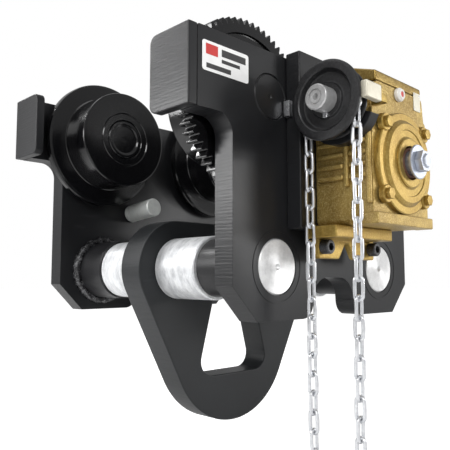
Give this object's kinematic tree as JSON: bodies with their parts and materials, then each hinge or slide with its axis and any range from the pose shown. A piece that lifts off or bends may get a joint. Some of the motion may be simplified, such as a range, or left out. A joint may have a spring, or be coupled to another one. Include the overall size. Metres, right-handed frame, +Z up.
{
  "type": "geared beam trolley",
  "caption": "Geared beam trolley with two side plates, flanged wheels, bumper plates, twin load shafts, an eyed load plate and a hand-chain worm drive.",
  "frame": {"origin": "middle of the trolley, on the upper face of the beam flange that the four wheel treads run on", "axes": "+X along the beam, +Z up, the geared side plate and its gearbox towards -Y"},
  "size_m": [0.5986, 0.645, 0.6489],
  "materials": {
    "black_paint": "satin black paint over flame-cut steel plate",
    "grey_paint": "satin dark grey paint on thick plate",
    "gloss_black": "gloss black paint on turned wheels",
    "turned_steel": "bright turned steel with fine lathe lines",
    "zinc_plate": "bright zinc plate, mottled",
    "gold_paint": "gold metallic paint on a rough casting",
    "black_oxide": "black oxide steel and black cast iron",
    "bronze": "machined bronze",
    "seal_rubber": "brown lip seal",
    "label_white": "white printed plate without lettering",
    "sight_plastic": "clear sight plug with a red ring"
  },
  "bodies": {
    "carriage": {"anti_tilt_stub": "zinc_plate", "axle_far_left": "turned_steel", "axle_far_right": "turned_steel", "axle_near_left": "turned_steel", "axle_near_right": "turned_steel", "bumper_plate_far_left": "black_paint", "bumper_plate_far_right": "black_paint", "bumper_plate_near_left": "black_paint", "bumper_plate_near_right": "black_paint", "chain_guide": "black_paint", "collar_far_left": "black_paint", "collar_far_right": "black_paint", "collar_near_left": "black_paint", "collar_near_right": "black_paint", "cover_bolt_bottom_left": "gold_paint", "cover_bolt_bottom_right": "gold_paint", "cover_bolt_top_left": "gold_paint", "cover_bolt_top_right": "gold_paint", "far_side_plate": "black_paint", "foot_bracket": "gold_paint", "foot_screw_left": "black_oxide", "foot_screw_right": "black_oxide", "gearbox_cover": "gold_paint", "gearbox_housing": "gold_paint", "gearbox_nameplate": "zinc_plate", "gearbox_pad": "black_paint", "gearbox_top_cap": "gold_paint", "load_plate": "grey_paint", "load_shaft_left": "turned_steel", "load_shaft_right": "turned_steel", "near_side_plate": "black_paint", "oil_sight_plug": "sight_plastic", "output_seal": "seal_rubber", "pinion_bush": "bronze", "rating_label": "label_white", "sleeve_far_left": "zinc_plate", "sleeve_far_right": "zinc_plate", "sleeve_near_left": "zinc_plate", "sleeve_near_right": "zinc_plate"},
    "wheel_near_left": {"bearing_near_left": "turned_steel", "wheel_cap_near_left": "gloss_black", "wheel_near_left": "gloss_black"},
    "wheel_near_right": {"bearing_near_right": "turned_steel", "wheel_cap_near_right": "gloss_black", "wheel_near_right": "gloss_black"},
    "wheel_far_left": {"bearing_far_left": "turned_steel", "wheel_cap_far_left": "gloss_black", "wheel_far_left": "gloss_black"},
    "wheel_far_right": {"bearing_far_right": "turned_steel", "wheel_cap_far_right": "gloss_black", "wheel_far_right": "gloss_black"},
    "output": {"output_nut": "zinc_plate", "output_shaft": "zinc_plate", "output_washer": "zinc_plate", "pinion": "black_oxide", "worm_wheel": "bronze"},
    "worm": {"hand_wheel": "black_oxide", "hand_wheel_key": "zinc_plate", "worm_shaft": "turned_steel"},
    "hand_chain": {"hand_chain": "zinc_plate"}
  },
  "joints": [
    {"name": "wheel_near_left_spin", "type": "hinge", "parent": "carriage", "child": "wheel_near_left", "pos_m": [-0.146, -0.15, 0.087], "axis": [0, 1, 0], "continuous": true},
    {"name": "wheel_near_right_spin", "type": "hinge", "parent": "carriage", "child": "wheel_near_right", "pos_m": [0.146, -0.15, 0.087], "axis": [0, 1, 0], "continuous": true},
    {"name": "wheel_far_left_spin", "type": "hinge", "parent": "carriage", "child": "wheel_far_left", "pos_m": [-0.146, 0.15, 0.087], "axis": [0, 1, 0], "continuous": true},
    {"name": "wheel_far_right_spin", "type": "hinge", "parent": "carriage", "child": "wheel_far_right", "pos_m": [0.146, 0.15, 0.087], "axis": [0, 1, 0], "continuous": true},
    {"name": "output_spin", "type": "hinge", "parent": "carriage", "child": "output", "pos_m": [0, -0.3, -0.00766], "axis": [0, 1, 0], "continuous": true},
    {"name": "hand_wheel_spin", "type": "hinge", "parent": "carriage", "child": "worm", "pos_m": [-0.114, -0.323, 0.068], "axis": [1, 0, 0], "continuous": true},
    {"name": "hand_chain_swing", "type": "hinge", "parent": "carriage", "child": "hand_chain", "pos_m": [-0.114, -0.323, 0.068], "axis": [1, 0, 0], "range_deg": [-12, 3]}
  ],
  "couplings": [
    {"joint": "output_spin", "follows": "hand_wheel_spin", "ratio": 0.033333},
    {"joint": "wheel_near_left_spin", "follows": "hand_wheel_spin", "ratio": -0.014208},
    {"joint": "wheel_near_right_spin", "follows": "hand_wheel_spin", "ratio": -0.014208}
  ]
}
